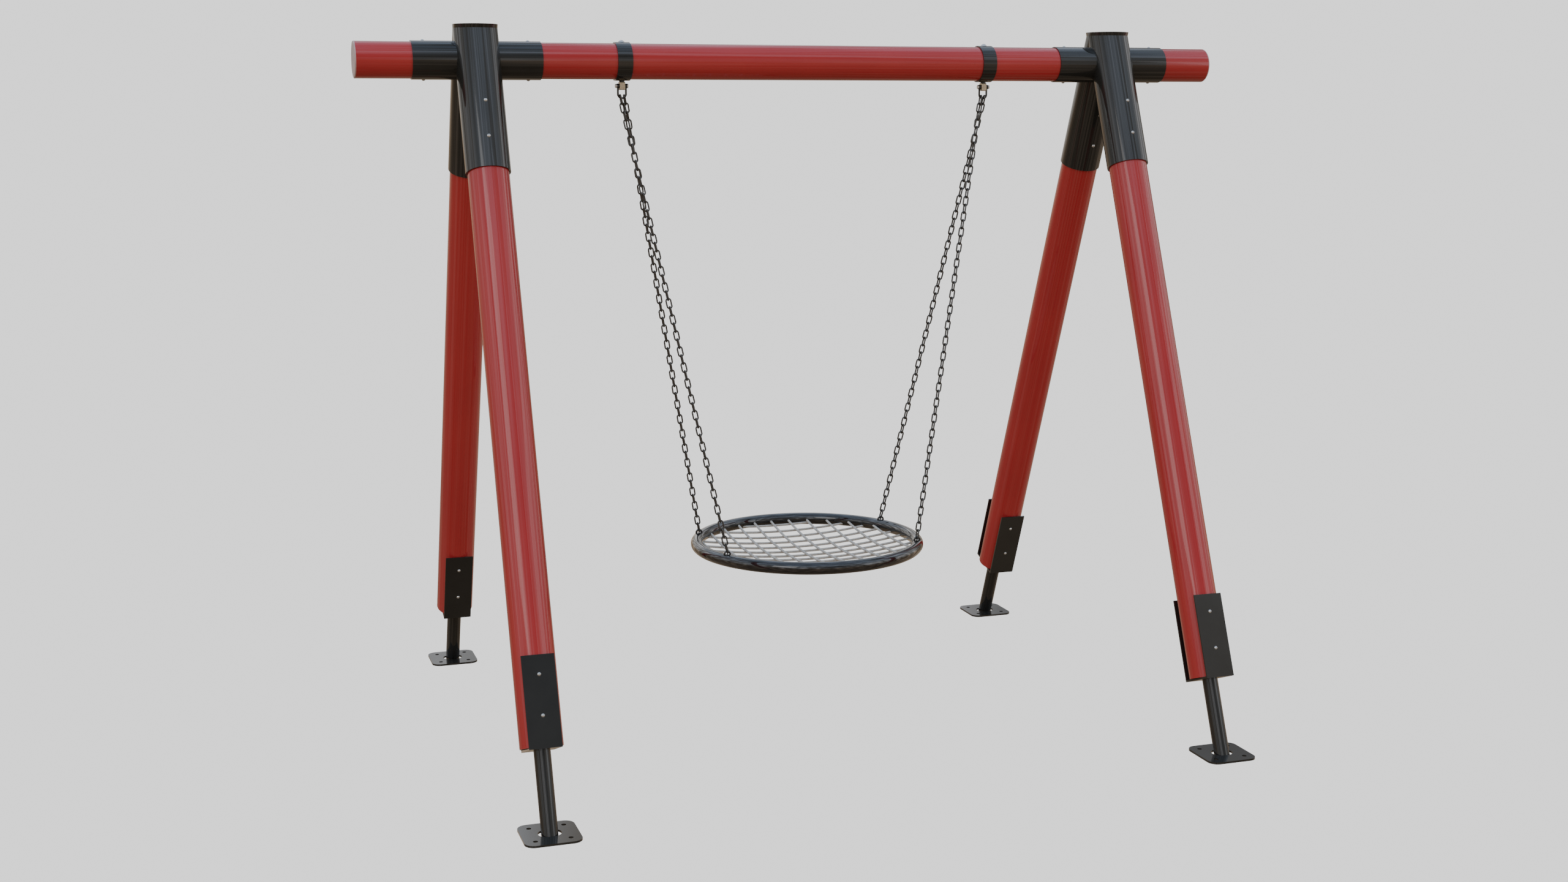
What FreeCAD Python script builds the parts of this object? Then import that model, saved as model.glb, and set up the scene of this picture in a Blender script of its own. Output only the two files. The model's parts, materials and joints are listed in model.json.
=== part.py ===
"""Nest swing: two A-frames, a round beam, two bearing hangers, four chains and a round net seat.

X runs along the beam, +Z is up, and the origin is on the ground between the two A-frames,
level with the undersides of the four base plates.
"""
import FreeCAD, Part
import Sketcher
import math
import os

X_AXIS = FreeCAD.Vector(1, 0, 0)
Y_AXIS = FreeCAD.Vector(0, 1, 0)
Z_AXIS = FreeCAD.Vector(0, 0, 1)
CENTRE = FreeCAD.Vector(0, 0, 0)

SIDES = (("left", -1), ("right", 1))
ENDS = (("front", -1), ("back", 1))

DIMENSIONS = [
    ("beam_length", 3680, "over the two end caps"),
    ("beam_diameter", 142, "outside of the beam tube"),
    ("beam_wall", 4, "beam tube wall"),
    ("beam_height", 2746, "beam axis above the ground face"),
    ("cap_thickness", 5, "end cap outside the tube"),
    ("cap_plug", 22, "end cap inside the tube"),
    ("frame_spacing", 2740, "between the two A-frames"),
    ("leg_diameter", 160, "outside of a leg pole"),
    ("leg_wall", 4, "leg pole wall"),
    ("leg_lean", 22, "leg from the vertical, degrees"),
    ("apex_rise", 123, "where leg axes cross, above the beam axis"),
    ("leg_top", 210, "crossing point to the pole's upper end"),
    ("sleeve_gap", 1, "slack between a pole and its sleeve"),
    ("sleeve_wall", 6, "leg sleeve wall"),
    ("sleeve_end", 595, "crossing point to the sleeve's lower end"),
    ("sleeve_rise", 138, "flat top of the head above the beam axis"),
    ("roof_wall", 6, "closed top of the head"),
    ("crossing_diameter", 150, "outside of the beam sleeve"),
    ("crossing_bore", 142.6, "inside of the beam sleeve"),
    ("crossing_length", 505, "length of the beam sleeve"),
    ("bolt_diameter", 8, "frame bolt shank"),
    ("bolt_hole", 9, "hole for a frame bolt"),
    ("bolt_head", 14, "button head across"),
    ("bolt_head_height", 4.4, "button head height"),
    ("socket_size", 5.8, "hexagon socket across corners"),
    ("socket_depth", 2.5, "hexagon socket depth"),
    ("nut_bite", 1.5, "how far a bolt end reaches into its button nut"),
    ("rod_nut", 26, "hanger rod nut across"),
    ("rod_nut_height", 8, "hanger rod nut height"),
    ("sleeve_bolt_first", 331, "crossing point to the upper sleeve bolt"),
    ("sleeve_bolt_pitch", 144, "between the two sleeve bolts"),
    ("crossing_bolt_offset", 205, "beam bolts either side of the head"),
    ("shoe_width", 122, "shoe plates across"),
    ("shoe_length", 336, "shoe plates along the leg"),
    ("shoe_side", 6, "shoe side plate thickness"),
    ("shoe_floor", 8, "shoe floor thickness"),
    ("shoe_end", 2790, "crossing point to the shoe's lower face"),
    ("shoe_bolt_first", 2525, "crossing point to the upper shoe bolt"),
    ("shoe_bolt_pitch", 148, "between the two shoe bolts"),
    ("stem_diameter", 62, "foot stem tube"),
    ("stem_wall", 5, "foot stem wall"),
    ("plate_size", 210, "square base plate"),
    ("plate_thickness", 8, "base plate thickness"),
    ("plate_corner", 38, "base plate corner radius"),
    ("plate_pitch", 128, "anchor hole spacing, both ways"),
    ("plate_hole", 18, "anchor hole"),
    ("slot_length", 87, "opening for the stem, along the beam"),
    ("slot_width", 70.4, "opening for the stem, across the beam"),
    ("hanger_spacing", 1576, "between the two hangers"),
    ("band_bore", 142.6, "hanger band inside"),
    ("band_wall", 4.7, "hanger band thickness"),
    ("band_width", 60, "hanger band along the beam"),
    ("rod_diameter", 12, "hanger rod through the beam"),
    ("rod_hole", 13, "hole for the hanger rod"),
    ("collar_diameter", 22, "hanger rod collar"),
    ("pin_drop", 96, "pin axis below the beam axis"),
    ("block_width", 22, "bearing block along the beam"),
    ("block_depth", 26, "bearing block across the beam"),
    ("block_height", 32, "bearing block height"),
    ("bush_diameter", 16, "bearing bush outside"),
    ("bush_bore", 10.1, "bearing bush inside"),
    ("pin_diameter", 10, "shackle pin"),
    ("pin_head", 15, "shackle pin head across"),
    ("pin_head_length", 7, "shackle pin head length"),
    ("shackle_wire", 8, "shackle round bar"),
    ("shackle_gap", 25, "inside the shackle"),
    ("shackle_drop", 48, "pin axis to the lowest bar axis"),
    ("shackle_eye", 19, "shackle eye across"),
    ("link_wire", 6.5, "chain link wire"),
    ("link_width", 26, "chain link outside width"),
    ("link_slack", 0.3, "play in each chain link"),
    ("link_count", 57, "links in each chain"),
    ("link_offset", 8.4, "top links from the shackle's centre"),
    ("ring_height", 721, "ring axis plane above the ground face"),
    ("ring_diameter", 1000, "outside of the seat ring"),
    ("ring_tube", 52, "ring tube diameter"),
    ("ring_wall", 3, "ring tube wall"),
    ("chain_angle", 27, "chain staples from the beam direction, degrees"),
    ("staple_wire", 8, "staple round bar"),
    ("staple_radius", 12, "staple bend, to the bar axis"),
    ("staple_lift", 26, "staple bend centre above the ring axis"),
    ("staple_root", 5, "staple legs below the bend, into the weld"),
    ("hook_slack", 0.6, "last link below the staple bar"),
    ("rope_diameter", 10, "net rope"),
    ("across_first", -406.5, "first rope that runs along the beam, from the seat's centre"),
    ("across_pitch", 75.7, "between ropes that run along the beam"),
    ("across_count", 12, "ropes that run along the beam"),
    ("along_first", -428, "first rope that runs across the beam, from the seat's centre"),
    ("along_pitch", 82, "between ropes that run across the beam"),
    ("along_count", 11, "ropes that run across the beam"),
    ("rope_layer", 5.25, "each rope layer from the middle of the net"),
    ("net_drop", 6, "net rim below the ring axis"),
    ("rope_bite", 14, "rope end past the ring's inner wall line, before trimming"),
    ("net_sag", 40, "net below its rim at the middle"),
    ("overcut", 1, "cutting tools past the faces they cut"),
    ("running_fit", 0.1, "slack of a pin in its bore, across"),
    ("press_slack", 0.2, "slack of a plug or a bolt end in its hole, across"),
    ("sleeve_run_up", 100, "leg sleeve above the crossing point, before trimming"),
    ("stem_overrun", 60, "stem past the ground face, before trimming"),
    ("trim_block", 800, "blocks that trim the heads and the stems level"),
    ("cap_rounding", 3, "end cap edge radius"),
    ("block_rounding", 4, "bearing block edge radius"),
    ("collar_rise", 6, "rod collar above the band's inside"),
    ("sketch_start", 20, "diameter a circle is drawn at before its formula sets it"),
]

doc = FreeCAD.newDocument("nest_swing")
sheet = doc.addObject("Spreadsheet::Sheet", "dims")
for row, (alias, value, note) in enumerate(DIMENSIONS, start=1):
    sheet.set("A%d" % row, note)
    sheet.set("B%d" % row, str(value))
    sheet.setAlias("B%d" % row, alias)
doc.recompute()

sub_parts = []


def size(alias):
    """The value of one driving dimension."""
    return float(sheet.get(alias))


def bind(item, **expressions):
    """Bind properties of an object to formulas of the sheet's cells."""
    for name, expression in expressions.items():
        item.setExpression(name, expression)
    return item


def keep(item, label):
    """Mark an object as a sub-part, which is written to its own file."""
    item.Label = label
    sub_parts.append(item)
    return item


def cylinder(name, diameter, height, placement=None):
    item = doc.addObject("Part::Cylinder", name)
    bind(item, Radius="(%s) / 2" % diameter, Height=height)
    item.Placement = placement or FreeCAD.Placement()
    return item


def block(name, length, width, height, placement):
    item = doc.addObject("Part::Box", name)
    bind(item, Length=length, Width=width, Height=height)
    item.Placement = placement
    return item


def trim_block(name, x, y, low):
    """A large block that stands on a level, centred over a point."""
    reach = size("trim_block") / 2
    return block(name, "dims.trim_block", "dims.trim_block", "dims.trim_block", at(x - reach, y - reach, low))


def fuse(name, shapes):
    item = doc.addObject("Part::MultiFuse", name)
    item.Shapes = shapes
    item.Refine = True
    return item


def cut(name, base, tool):
    item = doc.addObject("Part::Cut", name)
    item.Base = base
    item.Tool = tool
    item.Refine = True
    return item


def copies(name, seed, placements):
    """One sub-part made of separate copies of a seed solid."""
    doc.recompute()
    item = doc.addObject("Part::Feature", name)
    item.Shape = Part.makeCompound([placed(seed.Shape, place) for place in placements])
    return item


def bolt_set(name, bolt, places, nut, reach):
    """Bolts and the nuts on their far ends, as one sub-part of separate solids."""
    doc.recompute()
    bolts = [placed(bolt.Shape, place) for place in places]
    nuts = [placed(nut.Shape, flipped(place, reach)) for place in places]
    item = doc.addObject("Part::Feature", name)
    item.Shape = Part.makeCompound(bolts + nuts)
    return keep(item, name)


def placed(shape, placement):
    return shape.transformed(placement.toMatrix(), True)


def at(x, y, z, rotation=None):
    return FreeCAD.Placement(FreeCAD.Vector(x, y, z), rotation or FreeCAD.Rotation())


def along(direction):
    """Rotation that turns +Z to a direction."""
    return FreeCAD.Rotation(Z_AXIS, direction)


def frame_x(side):
    return side * size("frame_spacing") / 2


def hanger_x(side):
    return side * size("hanger_spacing") / 2


def apex_height():
    return size("beam_height") + size("apex_rise")


def on_leg(side, end, distance):
    """Local frame on a leg: +Z runs down the leg and +Y points to the front face."""
    lean = math.radians(size("leg_lean"))
    point = FreeCAD.Vector(
        frame_x(side),
        end * distance * math.sin(lean),
        apex_height() - distance * math.cos(lean),
    )
    return FreeCAD.Placement(point, FreeCAD.Rotation(X_AXIS, 180 + end * size("leg_lean")))


def leg_bolts(side, end, first, pitch, reach):
    """Frames of the two bolts across a leg, with +Z pointing out of the bolt head."""
    outward = FreeCAD.Placement(FreeCAD.Vector(0, reach, 0), FreeCAD.Rotation(X_AXIS, -90))
    distances = (size(first), size(first) + size(pitch))
    return [on_leg(side, end, distance).multiply(outward) for distance in distances]


def flipped(placement, reach):
    """The same bolt's nut frame on the far face."""
    return placement.multiply(at(0, 0, -2 * reach, FreeCAD.Rotation(X_AXIS, 180)))


def origin_plane(body, role):
    return [item for item in body.Origin.OriginFeatures if item.Role == role][0]


def new_sketch(body, name, role="XY_Plane"):
    sketch = body.newObject("Sketcher::SketchObject", name)
    sketch.AttachmentSupport = [(origin_plane(body, role), "")]
    sketch.MapMode = "FlatFace"
    return sketch


def pad(body, name, sketch, length, both_ways=False):
    feature = body.newObject("PartDesign::Pad", name)
    feature.Profile = sketch
    bind(feature, Length=length)
    feature.Midplane = both_ways
    sketch.Visibility = False
    return feature


def add_circle(sketch, radius, centre=CENTRE):
    return sketch.addGeometry(Part.Circle(centre, Z_AXIS, radius), False)


def bound_circle(sketch, diameter, name):
    """A circle on the sketch's origin whose diameter follows the sheet."""
    start = size("sketch_start")
    index = add_circle(sketch, start / 2)
    sketch.addConstraint(Sketcher.Constraint("Coincident", index, 3, -1, 1))
    constraint = sketch.addConstraint(Sketcher.Constraint("Diameter", index, start))
    sketch.renameConstraint(constraint, name)
    sketch.setExpression("Constraints." + name, diameter)


def tube(name, diameter, wall, length, both_ways=False):
    """A round tube along +Z as a padded sketch of two circles."""
    body = doc.addObject("PartDesign::Body", name)
    sketch = new_sketch(body, name + "_section")
    bound_circle(sketch, diameter, "outside")
    bound_circle(sketch, "%s - 2 * %s" % (diameter, wall), "inside")
    pad(body, name + "_length", sketch, length, both_ways)
    return body


def beam():
    """The beam tube with its vertical bolt and rod holes."""
    raw = tube("beam_stock", "dims.beam_diameter", "dims.beam_wall",
               "dims.beam_length - 2 * dims.cap_thickness", both_ways=True)
    raw.Placement = at(0, 0, size("beam_height"), FreeCAD.Rotation(Y_AXIS, 90))
    drills = []
    low = size("beam_height") - size("beam_diameter")
    for word, side in SIDES:
        for step in (-1, 1):
            x = frame_x(side) + step * size("crossing_bolt_offset")
            drills.append(cylinder("beam_bolt_drill", "dims.bolt_hole", "2 * dims.beam_diameter", at(x, 0, low)))
        drills.append(cylinder("beam_rod_drill_" + word, "dims.rod_hole", "2 * dims.beam_diameter",
                               at(hanger_x(side), 0, low)))
    keep(cut("beam", raw, fuse("beam_drills", drills)), "beam_tube")


def end_caps():
    """Press-in plastic caps that close the beam."""
    disc = cylinder("cap_disc", "dims.beam_diameter", "dims.cap_thickness")
    plug = cylinder("cap_plug_disc", "dims.beam_diameter - 2 * dims.beam_wall - dims.press_slack",
                    "dims.cap_plug + dims.overcut", at(0, 0, -size("cap_plug")))
    whole = fuse("cap_whole", [disc, plug])
    doc.recompute()
    rim = [number for number, edge in enumerate(whole.Shape.Edges, start=1)
           if abs(edge.BoundBox.ZMin - size("cap_thickness")) < 0.01]
    rounding = size("cap_rounding")
    rounded = doc.addObject("Part::Fillet", "cap_rounded")
    rounded.Base = whole
    rounded.Edges = [(number, rounding, rounding) for number in rim]
    tip = size("beam_length") / 2 - size("cap_thickness")
    places = [at(side * tip, 0, size("beam_height"), along(X_AXIS * side)) for _, side in SIDES]
    keep(copies("end_caps", rounded, places), "beam_end_caps")


def head(word, side):
    """One welded head: two leg sleeves and a beam sleeve, closed on top."""
    top = size("beam_height") + size("sleeve_rise")
    length = "dims.sleeve_end + dims.sleeve_run_up"
    outers = []
    bores = []
    drills = []
    bore = "dims.leg_diameter + 2 * dims.sleeve_gap"
    for end_word, end in ENDS:
        tag = word + "_" + end_word
        start = on_leg(side, end, -size("sleeve_run_up"))
        outers.append(cylinder("sleeve_outer_" + tag, bore + " + 2 * dims.sleeve_wall", length, start))
        bores.append(cylinder("sleeve_bore_" + tag, bore, length + " + dims.overcut", start))
        for place in leg_bolts(side, end, "sleeve_bolt_first", "sleeve_bolt_pitch", 0):
            across = place.multiply(at(0, 0, -size("leg_diameter")))
            drills.append(cylinder("sleeve_drill", "dims.bolt_hole", "2 * dims.leg_diameter", across))
    roof = trim_block("roof_" + word, frame_x(side), 0, top)
    ceiling = trim_block("ceiling_" + word, frame_x(side), 0, top - size("roof_wall"))
    shell = cut("head_trimmed_" + word, fuse("head_outer_" + word, outers), roof)
    hollow = cut("head_hollow_" + word, fuse("head_bores_" + word, bores), ceiling)
    half = size("crossing_length") / 2
    sideways = at(frame_x(side) - half, 0, size("beam_height"), along(X_AXIS))
    crossing = cylinder("crossing_outer_" + word, "dims.crossing_diameter", "dims.crossing_length", sideways)
    drills.append(cylinder("crossing_bore_" + word, "dims.crossing_bore", "dims.crossing_length", sideways))
    low = size("beam_height") - size("beam_diameter")
    for step in (-1, 1):
        x = frame_x(side) + step * size("crossing_bolt_offset")
        drills.append(cylinder("crossing_drill", "dims.bolt_hole", "2 * dims.beam_diameter", at(x, 0, low)))
    solid = fuse("head_solid_" + word, [shell, crossing])
    rooms = cut("head_rooms_" + word, hollow, crossing)
    walls = cut("head_walls_" + word, solid, rooms)
    keep(cut("head_" + word, walls, fuse("head_drills_" + word, drills)), "head_" + word)


def leg(word, side, end_word, end):
    """A leg pole with its four bolt holes."""
    tag = end_word + "_" + word
    length = "dims.shoe_end - dims.shoe_floor - dims.leg_top"
    raw = tube("leg_stock_" + tag, "dims.leg_diameter", "dims.leg_wall", length)
    raw.Placement = on_leg(side, end, size("leg_top"))
    drills = []
    places = leg_bolts(side, end, "sleeve_bolt_first", "sleeve_bolt_pitch", 0)
    places += leg_bolts(side, end, "shoe_bolt_first", "shoe_bolt_pitch", 0)
    for place in places:
        across = place.multiply(at(0, 0, -size("leg_diameter")))
        drills.append(cylinder("leg_drill", "dims.bolt_hole", "2 * dims.leg_diameter", across))
    keep(cut("leg_" + tag, raw, fuse("leg_drills_" + tag, drills)), "leg_" + tag)


def shoe(word, side, end_word, end):
    """A U-shaped shoe: two side plates and a floor that the pole stands on."""
    tag = end_word + "_" + word
    outside = "dims.leg_diameter + 2 * dims.sleeve_gap + 2 * dims.shoe_side"
    inside = "dims.leg_diameter + 2 * dims.sleeve_gap"
    start = on_leg(side, end, size("shoe_end") - size("shoe_length"))
    half_width = size("shoe_width") / 2
    half_inside = size("leg_diameter") / 2 + size("sleeve_gap")
    half_outside = half_inside + size("shoe_side")
    solid = block("shoe_block_" + tag, "dims.shoe_width", outside, "dims.shoe_length",
                  start.multiply(at(-half_width, -half_outside, 0)))
    past = size("overcut")
    slot = block("shoe_slot_" + tag, "dims.shoe_width + 2 * dims.overcut", inside,
                 "dims.shoe_length - dims.shoe_floor + dims.overcut",
                 start.multiply(at(-half_width - past, -half_inside, -past)))
    drills = []
    for place in leg_bolts(side, end, "shoe_bolt_first", "shoe_bolt_pitch", 0):
        across = place.multiply(at(0, 0, -size("leg_diameter")))
        drills.append(cylinder("shoe_drill", "dims.bolt_hole", "2 * dims.leg_diameter", across))
    bent = cut("shoe_bent_" + tag, solid, slot)
    keep(cut("shoe_" + tag, bent, fuse("shoe_drills_" + tag, drills)), "shoe_" + tag)


def stem(word, side, end_word, end):
    """The thin foot tube that runs on from the shoe to the ground, cut level at its end."""
    tag = end_word + "_" + word
    length = "(dims.beam_height + dims.apex_rise) / cos(dims.leg_lean * 1deg) - dims.shoe_end + dims.stem_overrun"
    raw = tube("stem_stock_" + tag, "dims.stem_diameter", "dims.stem_wall", length)
    raw.Placement = on_leg(side, end, size("shoe_end"))
    ground = trim_block("stem_ground_" + tag, frame_x(side), foot_centre_y(end), -size("trim_block"))
    keep(cut("stem_" + tag, raw, ground), "stem_" + tag)


def foot_centre_y(end):
    """Where the stem's axis passes the middle of the base plate's thickness."""
    height = apex_height() - size("plate_thickness") / 2
    return end * height * math.tan(math.radians(size("leg_lean")))


def rounded_square(sketch, side_length, corner):
    """A square with arc corners, centred on the sketch's origin."""
    half = side_length / 2
    flat = half - corner
    for turn in range(4):
        spin = FreeCAD.Rotation(Z_AXIS, 90 * turn)
        start = spin.multVec(FreeCAD.Vector(half, -flat, 0))
        stop = spin.multVec(FreeCAD.Vector(half, flat, 0))
        sketch.addGeometry(Part.LineSegment(start, stop), False)
        middle = spin.multVec(FreeCAD.Vector(flat, flat, 0))
        circle = Part.Circle(middle, Z_AXIS, corner)
        begin = math.radians(90 * turn)
        sketch.addGeometry(Part.ArcOfCircle(circle, begin, begin + math.pi / 2), False)


def stadium(sketch, length, width):
    """A slot outline along X, centred on the sketch's origin."""
    radius = width / 2
    flat = length / 2 - radius
    for turn in (0, 1):
        spin = FreeCAD.Rotation(Z_AXIS, 180 * turn)
        start = spin.multVec(FreeCAD.Vector(flat, radius, 0))
        stop = spin.multVec(FreeCAD.Vector(-flat, radius, 0))
        sketch.addGeometry(Part.LineSegment(start, stop), False)
        circle = Part.Circle(spin.multVec(FreeCAD.Vector(-flat, 0, 0)), Z_AXIS, radius)
        begin = math.pi / 2 + math.pi * turn
        sketch.addGeometry(Part.ArcOfCircle(circle, begin, begin + math.pi), False)


def base_plate(word, side, end_word, end):
    """A square anchor plate with rounded corners, four anchor holes and a slot for the stem."""
    tag = end_word + "_" + word
    body = doc.addObject("PartDesign::Body", "base_plate_" + tag)
    outline = new_sketch(body, "plate_outline_" + tag)
    rounded_square(outline, size("plate_size"), size("plate_corner"))
    slab = pad(body, "plate_slab_" + tag, outline, "dims.plate_thickness")
    holes = new_sketch(body, "plate_holes_" + tag)
    stadium(holes, size("slot_length"), size("slot_width"))
    half = size("plate_pitch") / 2
    for x in (-half, half):
        for y in (-half, half):
            add_circle(holes, size("plate_hole") / 2, FreeCAD.Vector(x, y, 0))
    pocket = body.newObject("PartDesign::Pocket", "plate_pocket_" + tag)
    pocket.Profile = holes
    bind(pocket, Length="dims.plate_thickness")
    pocket.Reversed = True
    doc.recompute()
    assert pocket.Shape.Volume < slab.Shape.Volume, "the plate's holes are not cut"
    body.Placement = at(frame_x(side), foot_centre_y(end), 0)
    keep(body, "base_plate_" + tag)


def button(name, across, height):
    """A round button that stands on Z = 0: the cap of a ball."""
    ball = ((across / 2) ** 2 + height ** 2) / (2 * height)
    dome = doc.addObject("Part::Sphere", name)
    dome.Radius = ball
    dome.Angle1 = math.degrees(math.asin((ball - height) / ball))
    dome.Placement = at(0, 0, height - ball)
    return dome


def button_bolt(name, length):
    """A button-head bolt: the head stands on Z = 0 and the shank goes down."""
    dome = button(name + "_dome", size("bolt_head"), size("bolt_head_height"))
    shank = cylinder(name + "_shank", "dims.bolt_diameter", str(length + size("overcut")), at(0, 0, -length))
    socket = doc.addObject("Part::Prism", name + "_socket")
    socket.Polygon = 6
    bind(socket, Circumradius="dims.socket_size / 2", Height="dims.socket_depth + dims.overcut")
    socket.Placement = at(0, 0, size("bolt_head_height") - size("socket_depth"))
    return cut(name, fuse(name + "_whole", [dome, shank]), socket)


def button_nut(name, across, height, hole):
    """A button nut that stands on Z = 0, with a blind hole for the bolt's end."""
    dome = button(name + "_dome", across, height)
    bore = cylinder(name + "_bore", hole + " + dims.press_slack",
                    "dims.nut_bite + dims.press_slack + dims.overcut", at(0, 0, -size("overcut")))
    return cut(name, dome, bore)


def fasteners():
    """Bolts through the sleeves, the shoes and the beam, each with its button nut."""
    reach = size("leg_diameter") / 2 + size("sleeve_gap") + size("sleeve_wall")
    bite = size("nut_bite")
    cross_bolt = button_bolt("cross_bolt", 2 * reach + bite)
    nut = button_nut("nut", size("bolt_head"), size("bolt_head_height"), "dims.bolt_diameter")
    for label, first, pitch in (("head_leg", "sleeve_bolt_first", "sleeve_bolt_pitch"),
                                ("shoe", "shoe_bolt_first", "shoe_bolt_pitch")):
        places = []
        for _, side in SIDES:
            for _, end in ENDS:
                places += leg_bolts(side, end, first, pitch, reach)
        bolt_set(label + "_bolts", cross_bolt, places, nut, reach)
    reach = size("crossing_diameter") / 2
    beam_bolt = button_bolt("beam_bolt", 2 * reach + bite)
    places = []
    for _, side in SIDES:
        for step in (-1, 1):
            x = frame_x(side) + step * size("crossing_bolt_offset")
            places.append(at(x, 0, size("beam_height") + reach))
    bolt_set("head_beam_bolts", beam_bolt, places, nut, reach)


def hanger_band(word, side):
    """A flat steel band round the beam that carries one hanger."""
    band = tube("band_stock_" + word, "dims.band_bore + 2 * dims.band_wall", "dims.band_wall",
                "dims.band_width", both_ways=True)
    band.Placement = at(hanger_x(side), 0, size("beam_height"), FreeCAD.Rotation(Y_AXIS, 90))
    low = size("beam_height") - size("beam_diameter")
    drill = cylinder("band_drill_" + word, "dims.rod_hole", "2 * dims.beam_diameter", at(hanger_x(side), 0, low))
    keep(cut("hanger_band_" + word, band, drill), "hanger_band_" + word)


def pin_height():
    return size("beam_height") - size("pin_drop")


def band_radius():
    return size("band_bore") / 2 + size("band_wall")


def hanger_rods():
    """The rods that hold the bearing blocks, through the bands and the beam, and their nuts."""
    shoulder = pin_height() + size("block_height") / 2
    top = size("beam_height") + band_radius()
    rod_end = top + size("nut_bite")
    rods = []
    nuts = []
    for word, side in SIDES:
        x = hanger_x(side)
        shank = cylinder("rod_shank_" + word, "dims.rod_diameter", str(rod_end - shoulder), at(x, 0, shoulder))
        collar = cylinder("rod_collar_" + word, "dims.collar_diameter", "dims.band_wall + dims.collar_rise", at(x, 0, shoulder))
        beam_line = cylinder("rod_band_" + word, "dims.band_bore + 2 * dims.band_wall", "dims.band_width",
                             at(x - size("band_width") / 2, 0, size("beam_height"), along(X_AXIS)))
        rods.append(fuse("rod_" + word, [shank, cut("rod_neck_" + word, collar, beam_line)]))
        nuts.append(at(x, 0, top))
    pair = doc.addObject("Part::Compound", "rod_pair")
    pair.Links = rods
    keep(pair, "hanger_rods")
    nut = button_nut("rod_nut", size("rod_nut"), size("rod_nut_height"), "dims.rod_diameter")
    keep(copies("rod_nut_set", nut, nuts), "hanger_rod_nuts")


def bearing(word, side):
    """The bearing block under the band, with the bush that the shackle pin turns in."""
    corner = at(hanger_x(side) - size("block_width") / 2, -size("block_depth") / 2,
                pin_height() - size("block_height") / 2)
    solid = block("block_stock_" + word, "dims.block_width", "dims.block_depth", "dims.block_height", corner)
    doc.recompute()
    upright = [number for number, edge in enumerate(solid.Shape.Edges, start=1)
               if edge.BoundBox.XLength > size("block_width") / 2]
    rounding = size("block_rounding")
    rounded = doc.addObject("Part::Fillet", "block_rounded_" + word)
    rounded.Base = solid
    rounded.Edges = [(number, rounding, rounding) for number in upright]
    start = at(hanger_x(side) - size("block_width") / 2, 0, pin_height(), along(X_AXIS))
    bore = cylinder("block_bore_" + word, "dims.bush_diameter", "dims.block_width", start)
    keep(cut("bearing_block_" + word, rounded, bore), "bearing_block_" + word)
    bush = tube("bush_stock_" + word, "dims.bush_diameter", "(dims.bush_diameter - dims.bush_bore) / 2",
                "dims.block_width")
    bush.Placement = start
    keep(bush, "bearing_bush_" + word)


def shackle(word, side):
    """A bow shackle: a bent round bar with an eye at each end."""
    radius = (size("shackle_gap") + size("shackle_wire")) / 2
    drop = size("shackle_drop") - radius
    bend = doc.addObject("Part::Torus", "shackle_bend_" + word)
    bind(bend, Radius1="(dims.shackle_gap + dims.shackle_wire) / 2", Radius2="dims.shackle_wire / 2")
    bend.Angle3 = 180
    bend.Placement = at(0, 0, -drop, FreeCAD.Rotation(X_AXIS, -90))
    pieces = [bend]
    bores = []
    for letter, step in (("a", -1), ("b", 1)):
        tag = word + "_" + letter
        pieces.append(cylinder("shackle_leg_" + tag, "dims.shackle_wire", str(drop), at(step * radius, 0, -drop)))
        face = step * size("shackle_gap") / 2 - (size("shackle_wire") if step < 0 else 0)
        start = at(face, 0, 0, along(X_AXIS))
        pieces.append(cylinder("shackle_eye_" + tag, "dims.shackle_eye", "dims.shackle_wire", start))
        bores.append(cylinder("shackle_bore_" + tag, "dims.pin_diameter + dims.running_fit", "dims.shackle_wire", start))
    bow = cut("shackle_bow_" + word, fuse("shackle_bar_" + word, pieces), fuse("shackle_bores_" + word, bores))
    keep(copies("shackle_" + word, bow, [at(hanger_x(side), 0, pin_height())]), "shackle_" + word)


def shackle_pin(word, side):
    """The shackle's pin, with its round head on the outer side and a nut on the inner side."""
    half = size("shackle_gap") / 2 + size("shackle_wire")
    past = size("overcut")
    shank = cylinder("pin_shank_" + word, "dims.pin_diameter", str(2 * (half + past)),
                     at(-half - past, 0, 0, along(X_AXIS)))
    outer = cylinder("pin_head_" + word, "dims.pin_head", "dims.pin_head_length", at(half, 0, 0, along(X_AXIS)))
    lock = doc.addObject("Part::Prism", "pin_lock_" + word)
    lock.Polygon = 6
    bind(lock, Circumradius="dims.pin_head / 2 + 1", Height="dims.pin_head_length - 2")
    lock.Placement = at(-half, 0, 0, along(X_AXIS * -1))
    whole = fuse("pin_whole_" + word, [shank, outer, lock])
    turn = FreeCAD.Rotation(Z_AXIS, 0 if side > 0 else 180)
    keep(copies("pin_" + word, whole, [at(hanger_x(side), 0, pin_height(), turn)]), "shackle_pin_" + word)


def staple_top(side, end):
    """Bar axis at the highest point of one staple on the ring."""
    radius = (size("ring_diameter") - size("ring_tube")) / 2
    angle = math.radians(size("chain_angle"))
    height = size("ring_height") + size("staple_lift") + size("staple_radius")
    return FreeCAD.Vector(side * radius * math.cos(angle), end * radius * math.sin(angle), height)


def link_seed(pitch):
    """One chain link about its middle, long along X and flat in XY."""
    radius = (size("link_width") - size("link_wire")) / 2
    straight = pitch + size("link_slack") + size("link_wire") - 2 * radius
    pieces = []
    for step in (-1, 1):
        bend = doc.addObject("Part::Torus", "link_bend")
        bind(bend, Radius1="(dims.link_width - dims.link_wire) / 2", Radius2="dims.link_wire / 2")
        bend.Angle3 = 180
        bend.Placement = at(step * straight / 2, 0, 0, FreeCAD.Rotation(Z_AXIS, -90 * step))
        pieces.append(bend)
        pieces.append(cylinder("link_bar", "dims.link_wire", str(straight),
                               at(-straight / 2, step * radius, 0, along(X_AXIS))))
    return fuse("link_seed", pieces)


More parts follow.
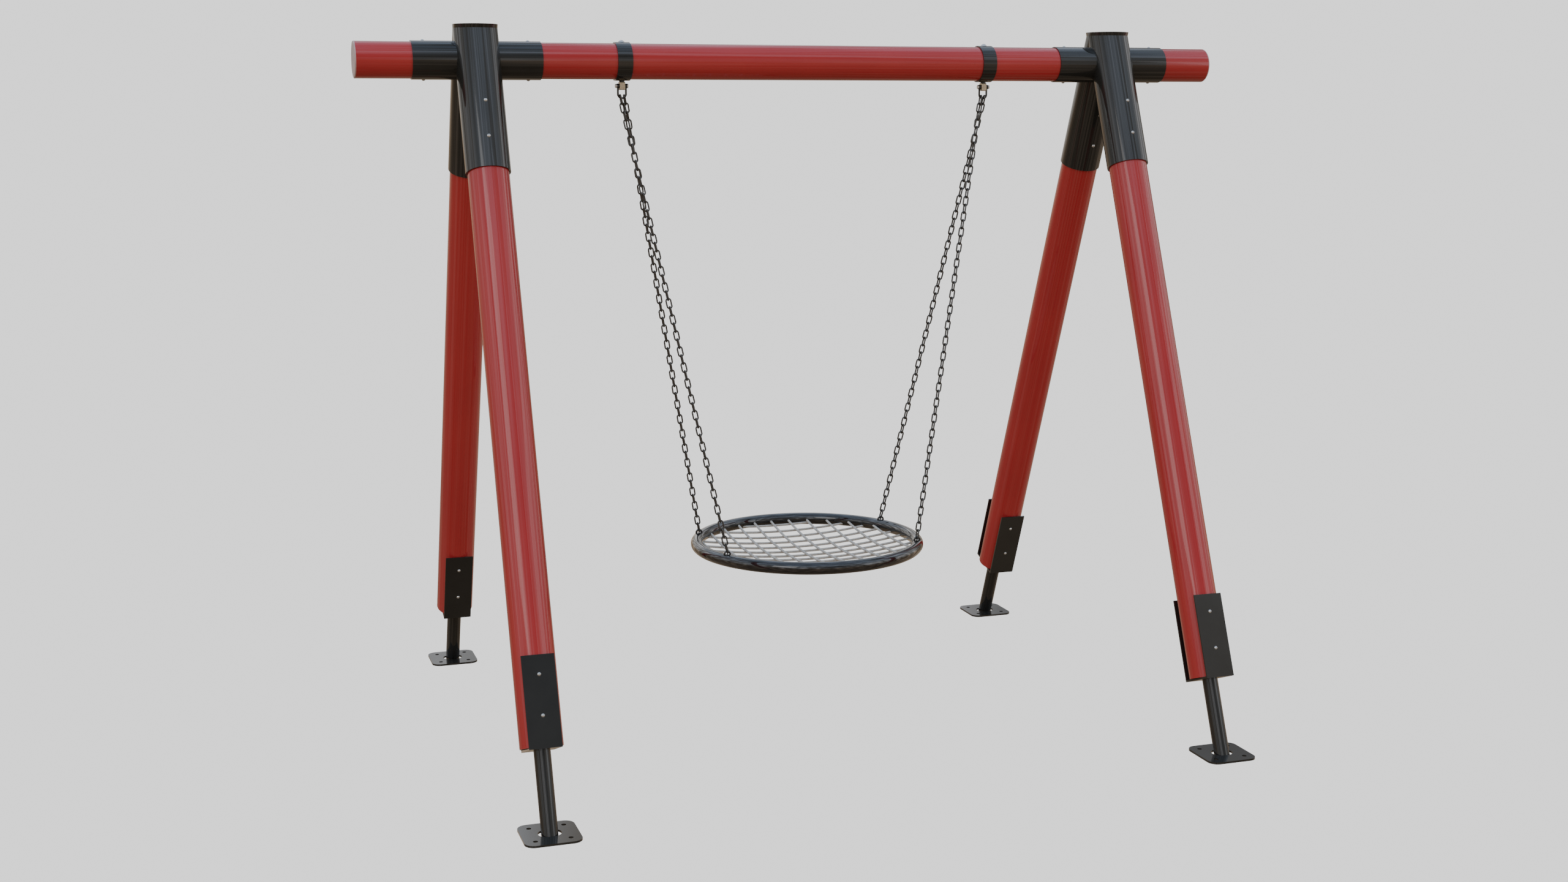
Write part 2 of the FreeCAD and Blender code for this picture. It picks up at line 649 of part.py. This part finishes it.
def chain(word, side, end_word, end):
    """A taut chain from the shackle's bend to the ring's staple, as separate links."""
    path_radius = (size("shackle_gap") - size("link_wire")) / 2
    bend_height = pin_height() - size("shackle_drop") + (size("shackle_gap") + size("shackle_wire")) / 2
    offset = end * size("link_offset")
    top = FreeCAD.Vector(hanger_x(side) + offset, 0,
                         bend_height - math.sqrt(path_radius ** 2 - offset ** 2) + size("link_slack") / 2)
    bar = staple_top(side, end)
    direction = (bar - top).normalize()
    bottom = bar + direction * ((size("staple_wire") + size("link_wire")) / 2 + size("hook_slack"))
    count = int(size("link_count"))
    pitch = ((bottom - top).Length - size("link_wire")) / count
    wide = (Y_AXIS - direction * Y_AXIS.dot(direction)).normalize()
    flat = direction.cross(wide)
    seed = link_seed(pitch)
    places = []
    for number in range(count):
        middle = top + direction * (number * pitch + (pitch + size("link_wire")) / 2)
        across = wide if number % 2 == 0 else flat
        turn = FreeCAD.Rotation(direction, across, direction.cross(across), "XYZ")
        places.append(FreeCAD.Placement(middle, turn))
    name = "chain_" + end_word + "_" + word
    keep(copies(name + "_links", seed, places), name)


def ring_torus(name, tube_diameter):
    ring = doc.addObject("Part::Torus", name)
    bind(ring, Radius1="(dims.ring_diameter - dims.ring_tube) / 2", Radius2="(%s) / 2" % tube_diameter)
    ring.Placement = at(0, 0, size("ring_height"))
    return ring


def seat_ring():
    """The hollow round tube that the net hangs in."""
    outside = ring_torus("ring_outside", "dims.ring_tube")
    inside = ring_torus("ring_inside", "dims.ring_tube - 2 * dims.ring_wall")
    keep(cut("ring", outside, inside), "seat_ring")


def staples():
    """Four bent bars welded on top of the ring, which the last chain links hook through."""
    arch = doc.addObject("Part::Torus", "staple_arch")
    bind(arch, Radius1="dims.staple_radius", Radius2="dims.staple_wire / 2")
    arch.Angle3 = 180
    arch.Placement = at(0, 0, 0, FreeCAD.Rotation(X_AXIS, 90))
    pieces = [arch]
    for step in (-1, 1):
        start = at(step * size("staple_radius"), 0, -size("staple_root"))
        pieces.append(cylinder("staple_leg", "dims.staple_wire", "dims.staple_root", start))
    seed = fuse("staple_seed", pieces)
    lower = FreeCAD.Vector(0, 0, size("staple_radius"))
    places = [FreeCAD.Placement(staple_top(side, end) - lower, FreeCAD.Rotation())
              for _, side in SIDES for _, end in ENDS]
    keep(copies("staples", seed, places), "chain_staples")


def net_layer(label, family, along_y, layer):
    """Parallel ropes that sag from the ring's inner wall, each on its own arc."""
    rim = size("ring_diameter") / 2 - size("ring_tube") + size("rope_bite")
    level = size("ring_height") - size("net_drop") + layer
    ropes = []
    for number in range(int(size(family + "_count"))):
        line = size(family + "_first") + number * size(family + "_pitch")
        reach = math.sqrt(rim ** 2 - line ** 2)
        dip = size("net_sag") * (1 - (line / rim) ** 2)
        points = []
        for run, drop in ((-reach, 0), (0, dip), (reach, 0)):
            spot = (line, run) if along_y else (run, line)
            points.append(FreeCAD.Vector(spot[0], spot[1], level - drop))
        arc = Part.Arc(*points)
        path = Part.Wire(arc.toShape())
        tangent = arc.tangent(arc.FirstParameter)[0]
        section = Part.Wire(Part.Circle(points[0], tangent, size("rope_diameter") / 2).toShape())
        ropes.append(path.makePipeShell([section], True, False))
    raw = doc.addObject("Part::Feature", label + "_stock")
    raw.Shape = Part.makeCompound(ropes)
    keep(cut(label + "_trimmed", raw, ring_torus(label + "_seat", "dims.ring_tube")), label)


def build():
    beam()
    end_caps()
    for word, side in SIDES:
        head(word, side)
        hanger_band(word, side)
        bearing(word, side)
        shackle(word, side)
        shackle_pin(word, side)
        for end_word, end in ENDS:
            leg(word, side, end_word, end)
            shoe(word, side, end_word, end)
            stem(word, side, end_word, end)
            base_plate(word, side, end_word, end)
            chain(word, side, end_word, end)
    fasteners()
    hanger_rods()
    seat_ring()
    staples()
    net_layer("net_ropes_across", "across", False, -size("rope_layer"))
    net_layer("net_ropes_along", "along", True, size("rope_layer"))
    doc.recompute()


def check():
    """Stop if any object failed or any sub-part has no valid solid."""
    for item in doc.Objects:
        assert "Invalid" not in item.State and "Error" not in item.State, item.Name
    for item in sub_parts:
        shape = item.Shape
        assert not shape.isNull() and shape.isValid() and shape.Solids, item.Label


def write():
    os.makedirs("parts", exist_ok=True)
    for item in sub_parts:
        item.Shape.exportStep("parts/%s.step" % item.Label)
        solids = item.Shape.Solids
        print(item.Label, len(solids), round(sum(solid.Volume for solid in solids)))


build()
check()
write()
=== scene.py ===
"""Looks of the nest swing: glossy tube frame, dark steel fittings, chains and a braided net seat.

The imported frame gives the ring's size and place, in metres. The rope lines, sag and layers
repeat those of the part's own source.
"""
import json
import math

import bpy
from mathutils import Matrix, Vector


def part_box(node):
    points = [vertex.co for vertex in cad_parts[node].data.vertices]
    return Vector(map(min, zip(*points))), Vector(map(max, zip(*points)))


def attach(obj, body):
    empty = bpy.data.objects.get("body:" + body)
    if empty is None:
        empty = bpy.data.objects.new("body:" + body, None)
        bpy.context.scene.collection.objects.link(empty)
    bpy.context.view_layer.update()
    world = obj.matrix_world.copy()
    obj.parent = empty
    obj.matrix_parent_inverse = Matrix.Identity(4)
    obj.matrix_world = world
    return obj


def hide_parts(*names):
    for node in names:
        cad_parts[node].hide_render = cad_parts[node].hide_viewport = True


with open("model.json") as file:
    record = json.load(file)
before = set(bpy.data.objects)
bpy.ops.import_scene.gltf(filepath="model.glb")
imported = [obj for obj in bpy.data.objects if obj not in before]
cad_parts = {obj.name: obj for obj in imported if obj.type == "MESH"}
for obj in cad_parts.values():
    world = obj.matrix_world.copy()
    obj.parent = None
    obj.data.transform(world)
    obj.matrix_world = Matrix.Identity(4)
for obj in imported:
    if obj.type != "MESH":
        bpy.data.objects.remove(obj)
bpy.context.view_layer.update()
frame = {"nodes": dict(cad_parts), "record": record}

MM = 0.001

CAMERA_PLACE = Vector((-2.592, -7.531, 2.574))
CAMERA_YAW = 18.28
CAMERA_PITCH = -10.05
CAMERA_LENS = 43.5
CAMERA_SENSOR = 36
CAMERA_REACH = 200

# Each family of ropes: the first rope's line, the distance between lines and how many there are.
ALONG_ROPES = (-428 * MM, 82 * MM, 11)
ACROSS_ROPES = (-406.5 * MM, 75.7 * MM, 12)
ROPE_LAYER = 5.25 * MM
NET_DROP = 6 * MM
NET_SAG = 40 * MM
ROPE_BITE = 14 * MM

ROPE_RADIUS = 5.2 * MM
ROPE_STRANDS = 6
ROPE_LAY = 34 * MM
ROPE_STEP = 2.0 * MM
STRAND_POINTS = 5
STRAND_CREASE = 0.16

# Colour stops of each material, as (place on the noise, colour).
RED_TONES = [
    (0.25, (0.395, 0.028, 0.031)),
    (0.55, (0.425, 0.032, 0.034)),
    (0.85, (0.450, 0.037, 0.037)),
]
BLACK_TONES = [(0.30, (0.015, 0.015, 0.014)), (0.75, (0.023, 0.023, 0.0215))]
RING_TONES = [(0.30, (0.009, 0.0095, 0.010)), (0.75, (0.014, 0.0145, 0.016))]
CAP_TONES = [(0.30, (0.46, 0.34, 0.33)), (0.80, (0.58, 0.46, 0.44))]
ZINC_TONES = [(0.30, (0.42, 0.35, 0.25)), (0.70, (0.62, 0.54, 0.42))]
STEEL_TONES = [(0.30, (0.52, 0.52, 0.51)), (0.70, (0.72, 0.72, 0.71))]
CHAIN_TONES = [(0.35, (0.042, 0.041, 0.038)), (0.80, (0.095, 0.092, 0.085))]
ROPE_TONES = [
    (0.25, (0.40, 0.385, 0.355)),
    (0.55, (0.50, 0.485, 0.45)),
    (0.85, (0.60, 0.585, 0.55)),
]

BACKDROP = 1.42
SKY_STRENGTH = 2.2
# Colour by height, from straight down at 0 to straight up at 1, with the horizon at 0.5.
SKY_LAYERS = [
    (0.00, (0.120, 0.095, 0.070)),
    (0.42, (0.230, 0.180, 0.130)),
    (0.49, (0.290, 0.215, 0.145)),
    (0.52, (0.460, 0.440, 0.410)),
    (0.56, (0.300, 0.295, 0.280)),
    (0.60, (0.640, 0.640, 0.640)),
    (0.64, (0.470, 0.475, 0.485)),
    (0.69, (0.760, 0.775, 0.800)),
    (0.75, (0.480, 0.525, 0.590)),
    (0.82, (0.600, 0.680, 0.800)),
    (1.00, (0.340, 0.450, 0.620)),
]
# Upright darker and lighter stripes, multiplied onto the layers.
SKY_STRIPES = [
    (0.38, (0.42, 0.38, 0.33)),
    (0.50, (0.75, 0.75, 0.75)),
    (0.58, (1.00, 1.00, 1.00)),
    (0.66, (1.55, 1.50, 1.52)),
]
# Dark shapes above the horizon: direction, inner and outer reach, brightness inside.
DARK_MASSES = [
    ((0.14, -0.90, 0.42), 0.14, 0.36, 0.34),
    ((0.62, 0.72, 0.30), 0.20, 0.60, 0.35),
]


# ---------------------------------------------------------------- node helpers

def new_material(name):
    """A material with its node tree and shader."""
    material = bpy.data.materials.new(name)
    material.use_nodes = True
    return material, material.node_tree, material.node_tree.nodes["Principled BSDF"]


def set_inputs(shader, **values):
    """Sets plain numbers on the shader's own sockets."""
    for name, value in values.items():
        shader.inputs[name.replace("_", " ")].default_value = value


def add_noise(tree, scale, detail=4.0, roughness=0.5, stretch=(1, 1, 1), space="Object"):
    """Noise by place, in the object's own metres unless another space is named."""
    place = tree.nodes.new("ShaderNodeTexCoord")
    mapping = tree.nodes.new("ShaderNodeMapping")
    mapping.inputs["Scale"].default_value = stretch
    noise = tree.nodes.new("ShaderNodeTexNoise")
    noise.inputs["Scale"].default_value = scale
    noise.inputs["Detail"].default_value = detail
    noise.inputs["Roughness"].default_value = roughness
    tree.links.new(place.outputs[space], mapping.inputs["Vector"])
    tree.links.new(mapping.outputs["Vector"], noise.inputs["Vector"])
    return noise.outputs["Fac"]


def add_ramp(tree, source, stops):
    """Colours a value by stops of (place, colour)."""
    ramp = tree.nodes.new("ShaderNodeValToRGB")
    while len(ramp.color_ramp.elements) < len(stops):
        ramp.color_ramp.elements.new(0.5)
    for element, (position, colour) in zip(ramp.color_ramp.elements, stops):
        element.position = position
        element.color = (*colour, 1)
    tree.links.new(source, ramp.inputs["Fac"])
    return ramp.outputs["Color"]


def add_range(tree, source, low, high, start=0.0, end=1.0):
    """Turns values from start to end into values from low to high."""
    spread = tree.nodes.new("ShaderNodeMapRange")
    spread.inputs["From Min"].default_value = start
    spread.inputs["From Max"].default_value = end
    spread.inputs["To Min"].default_value = low
    spread.inputs["To Max"].default_value = high
    tree.links.new(source, spread.inputs["Value"])
    return spread.outputs["Result"]


def multiply(tree, first, second):
    """Product of two colours."""
    mix = tree.nodes.new("ShaderNodeMix")
    mix.data_type = "RGBA"
    mix.blend_type = "MULTIPLY"
    mix.inputs["Factor"].default_value = 1.0
    tree.links.new(first, mix.inputs["A"])
    tree.links.new(second, mix.inputs["B"])
    return mix.outputs["Result"]


def tint(tree, shader, tones, **noise):
    """Base colour in soft patches."""
    tree.links.new(add_ramp(tree, add_noise(tree, **noise), tones), shader.inputs["Base Color"])


def vary_roughness(tree, shader, low, high, **noise):
    """Roughness that drifts between two values."""
    tree.links.new(add_range(tree, add_noise(tree, **noise), low, high), shader.inputs["Roughness"])


def add_bump(tree, shader, strength, distance, **noise):
    """Fine grain in the surface."""
    bump = tree.nodes.new("ShaderNodeBump")
    bump.inputs["Strength"].default_value = strength
    bump.inputs["Distance"].default_value = distance
    tree.links.new(add_noise(tree, **noise), bump.inputs["Height"])
    tree.links.new(bump.outputs["Normal"], shader.inputs["Normal"])


# ---------------------------------------------------------------- materials

def red_paint():
    """Glossy red coat on the poles and the beam, with faint sun fade and orange peel."""
    material, tree, shader = new_material("red_gloss_paint")
    set_inputs(shader, Roughness=0.12, Specular_IOR_Level=0.25, Coat_Weight=0.5, Coat_Roughness=0.02)
    tint(tree, shader, RED_TONES, scale=2.2, detail=5, roughness=0.55)
    vary_roughness(tree, shader, low=0.08, high=0.14, scale=14, detail=6, roughness=0.6)
    add_bump(tree, shader, strength=0.02, distance=0.2 * MM, scale=90, detail=2)
    return material


def dark_coat(name, tones, smoothest, grain, coat):
    """Dark powder coat with a fine grain and slightly lighter patches."""
    material, tree, shader = new_material(name)
    set_inputs(shader, Metallic=0.0, Specular_IOR_Level=0.3, Coat_Weight=coat, Coat_Roughness=0.03)
    tint(tree, shader, tones, scale=5.0, detail=6, roughness=0.6)
    vary_roughness(tree, shader, low=smoothest, high=smoothest + 0.08, scale=22, detail=5, roughness=0.6)
    add_bump(tree, shader, strength=0.02, distance=0.2 * MM, scale=grain, detail=3)
    return material


def cap_plastic():
    """Pale weathered plastic of the beam's end caps and the bearing bushes."""
    material, tree, shader = new_material("cap_plastic")
    set_inputs(shader, Roughness=0.45, Specular_IOR_Level=0.4)
    tint(tree, shader, CAP_TONES, scale=30, detail=5)
    add_bump(tree, shader, strength=0.2, distance=0.3 * MM, scale=700, detail=2)
    return material


def plated_steel(name, tones, smoothest):
    """Zinc-plated metal with cloudy patches and fine brushing."""
    material, tree, shader = new_material(name)
    set_inputs(shader, Metallic=0.85, Specular_IOR_Level=0.5)
    tint(tree, shader, tones, scale=160, detail=6, roughness=0.6)
    vary_roughness(tree, shader, low=smoothest, high=smoothest + 0.18, scale=420)
    add_bump(tree, shader, strength=0.15, distance=0.2 * MM,
             scale=900, detail=3, roughness=0.6, stretch=(1, 1, 6))
    return material


def chain_steel():
    """Dark coated steel of the links, in uneven patches."""
    material, tree, shader = new_material("chain_steel")
    set_inputs(shader, Metallic=0.45, Specular_IOR_Level=0.5, Coat_Weight=0.3, Coat_Roughness=0.2)
    tint(tree, shader, CHAIN_TONES, scale=120, detail=5, roughness=0.6)
    vary_roughness(tree, shader, low=0.28, high=0.5, scale=300)
    add_bump(tree, shader, strength=0.2, distance=0.3 * MM, scale=1100, detail=3)
    return material


def rope_fibre():
    """Grey rope: the strands are modelled, and the fibre grain is bump and tone."""
    material, tree, shader = new_material("rope_fibre")
    set_inputs(shader, Roughness=0.82, Specular_IOR_Level=0.25, Sheen_Weight=0.2, Sheen_Roughness=0.5)
    tint(tree, shader, ROPE_TONES, scale=55, detail=8, roughness=0.65)
    add_bump(tree, shader, strength=0.5, distance=0.6 * MM, scale=2600, roughness=0.7)
    return material


MATERIALS = {
    "red_paint": red_paint(),
    "black_paint": dark_coat("black_powder_coat", BLACK_TONES, smoothest=0.06, grain=260, coat=0.45),
    "ring_paint": dark_coat("ring_gloss_coat", RING_TONES, smoothest=0.04, grain=180, coat=0.95),
    "cap_plastic": cap_plastic(),
    "chain_steel": chain_steel(),
    "net_rope": rope_fibre(),
    "bearing_zinc": plated_steel("bearing_zinc", ZINC_TONES, smoothest=0.30),
    "bush_plastic": cap_plastic(),
    "fastener_steel": plated_steel("fastener_steel", STEEL_TONES, smoothest=0.26),
}


def dress_cad_nodes():
    """Gives every CAD node the material of its slot in the record."""
    slots = {part["node"]: part["material_slot"] for part in frame["record"]["subparts"]}
    for name, node in frame["nodes"].items():
        for place in node.material_slots:
            place.link = "OBJECT"
            place.material = MATERIALS[slots[name]]


# ---------------------------------------------------------------- mesh tools

def add_piece(name, verts, faces, slot, body, replaced):
    """A smooth mesh piece that rides on a body, in place of a CAD node."""
    mesh = bpy.data.meshes.new(name)
    mesh.from_pydata(verts, [], faces)
    mesh.validate()
    for polygon in mesh.polygons:
        polygon.use_smooth = True
    mesh.materials.append(MATERIALS[slot])
    piece = bpy.data.objects.new(name, mesh)
    bpy.context.scene.collection.objects.link(piece)
    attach(piece, body)
    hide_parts(replaced)


def frames_along(points):
    """A steady pair of side directions at each point of an open path."""
    last = len(points) - 1
    tangents = []
    for number in range(last + 1):
        before = points[max(number - 1, 0)]
        after = points[min(number + 1, last)]
        tangents.append((after - before).normalized())
    normal = tangents[0].orthogonal().normalized()
    pairs = []
    for tangent in tangents:
        normal = (normal - tangent * normal.dot(tangent)).normalized()
        pairs.append((normal.copy(), tangent.cross(normal)))
    return pairs


def sweep(points, section):
    """Sweeps section(index) -> [(x, y), ...] along an open path, with flat ends."""
    verts = []
    for number, (point, (side, up)) in enumerate(zip(points, frames_along(points))):
        verts += [point + side * x + up * y for x, y in section(number)]
    around = len(section(0))
    last = (len(points) - 1) * around
    faces = []
    for start in range(0, last, around):
        after = start + around
        for step in range(around):
            turn = (step + 1) % around
            faces.append((start + step, start + turn, after + turn, after + step))
    faces.append(tuple(reversed(range(around))))
    faces.append(tuple(range(last, last + around)))
    return verts, faces


def gather(parts):
    """Joins (vertices, faces) lists into one."""
    verts = []
    faces = []
    for some_verts, some_faces in parts:
        base = len(verts)
        verts += some_verts
        faces += [tuple(index + base for index in face) for face in some_faces]
    return verts, faces


# ---------------------------------------------------------------- net

def rope_section(number):
    """A ring of strands, turned a little more at each step along the rope."""
    twist = 2 * math.pi * number * ROPE_STEP / ROPE_LAY
    around = ROPE_STRANDS * STRAND_POINTS
    points = []
    for index in range(around):
        angle = 2 * math.pi * index / around
        lobe = abs(math.cos(ROPE_STRANDS * angle / 2))
        radius = ROPE_RADIUS * (1 - STRAND_CREASE + STRAND_CREASE * lobe)
        points.append((radius * math.cos(angle + twist), radius * math.sin(angle + twist)))
    return points


def net_ropes(name, lines, along_y, layer, node):
    """Parallel ropes of one direction, which lie over or under the other direction's ropes."""
    low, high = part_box("seat_ring")
    tube = high.z - low.z
    rim = (high.x - low.x) / 2 - tube + ROPE_BITE
    level = (high.z + low.z) / 2 - NET_DROP + layer
    first, pitch, total = lines
    ropes = []
    for number in range(total):
        line = first + number * pitch
        reach = math.sqrt((rim - ROPE_BITE / 2) ** 2 - line ** 2)
        count = int(2 * reach / ROPE_STEP)
        points = []
        for index in range(count + 1):
            run = -reach + 2 * reach * index / count
            x, y = (line, run) if along_y else (run, line)
            dip = NET_SAG * (1 - (x * x + y * y) / (rim * rim))
            points.append(Vector((x, y, level - dip)))
        ropes.append(sweep(points, rope_section))
    verts, faces = gather(ropes)
    add_piece(name, verts, faces, "net_rope", "swing", node)


# ---------------------------------------------------------------- stage

def sky_colour(tree):
    """An overcast yard seen in reflections: pale sky, brown ground and a broken horizon."""
    place = tree.nodes.new("ShaderNodeTexCoord")
    direction = place.outputs["Generated"]
    split = tree.nodes.new("ShaderNodeSeparateXYZ")
    tree.links.new(direction, split.inputs["Vector"])
    height = add_range(tree, split.outputs["Z"], low=0, high=1, start=-1)
    layers = add_ramp(tree, height, SKY_LAYERS)
    stripes = add_noise(tree, scale=9.0, detail=6.0, stretch=(1, 1, 0.12), space="Generated")
    colour = multiply(tree, layers, add_ramp(tree, stripes, SKY_STRIPES))
    for centre, inner, outer, brightness in DARK_MASSES:
        away = tree.nodes.new("ShaderNodeVectorMath")
        away.operation = "DISTANCE"
        away.inputs[1].default_value = centre
        tree.links.new(direction, away.inputs[0])
        shade = add_range(tree, away.outputs["Value"], low=brightness, high=1, start=inner, end=outer)
        colour = multiply(tree, colour, shade)
    return colour


def studio():
    """Lights by the sky, and shows the camera one flat pale grey in its place."""
    world = bpy.data.worlds.new("studio")
    bpy.context.scene.world = world
    world.use_nodes = True
    tree = world.node_tree
    surroundings = tree.nodes["Background"]
    surroundings.inputs["Strength"].default_value = SKY_STRENGTH
    tree.links.new(sky_colour(tree), surroundings.inputs["Color"])
    backdrop = tree.nodes.new("ShaderNodeBackground")
    backdrop.inputs["Color"].default_value = (BACKDROP, BACKDROP, BACKDROP, 1)
    rays = tree.nodes.new("ShaderNodeLightPath")
    choice = tree.nodes.new("ShaderNodeMixShader")
    tree.links.new(rays.outputs["Is Camera Ray"], choice.inputs["Fac"])
    tree.links.new(surroundings.outputs["Background"], choice.inputs[1])
    tree.links.new(backdrop.outputs["Background"], choice.inputs[2])
    tree.links.new(choice.outputs["Shader"], tree.nodes["World Output"].inputs["Surface"])


def area_light(name, place, target, size, power, colour):
    """A soft square light that points from its place at a target."""
    data = bpy.data.lights.new(name, "AREA")
    data.size = size
    data.energy = power
    data.color = colour
    light = bpy.data.objects.new(name, data)
    light.location = place
    light.rotation_euler = (Vector(target) - Vector(place)).to_track_quat("-Z", "Y").to_euler()
    bpy.context.scene.collection.objects.link(light)


def lights():
    """A key light at the front left and a cooler fill at the front right."""
    area_light("key", place=(-7.5, -8.5, 7.5), target=(0, 0, 1.4), size=5.0, power=160,
               colour=(1.0, 0.98, 0.96))
    area_light("fill", place=(8.0, -7.0, 4.5), target=(0, 0, 1.2), size=4.0, power=60,
               colour=(0.88, 0.93, 1.0))


def camera():
    """The photograph's viewing angle."""
    data = bpy.data.cameras.new("camera")
    data.lens = CAMERA_LENS
    data.sensor_width = CAMERA_SENSOR
    data.clip_end = CAMERA_REACH
    view = bpy.data.objects.new("camera", data)
    view.location = CAMERA_PLACE
    view.rotation_euler = (math.radians(90 + CAMERA_PITCH), 0, math.radians(-CAMERA_YAW))
    bpy.context.scene.collection.objects.link(view)
    bpy.context.scene.camera = view


dress_cad_nodes()
net_ropes("net_along", ALONG_ROPES, True, ROPE_LAYER, "net_ropes_along")
net_ropes("net_across", ACROSS_ROPES, False, -ROPE_LAYER, "net_ropes_across")
studio()
lights()
camera()
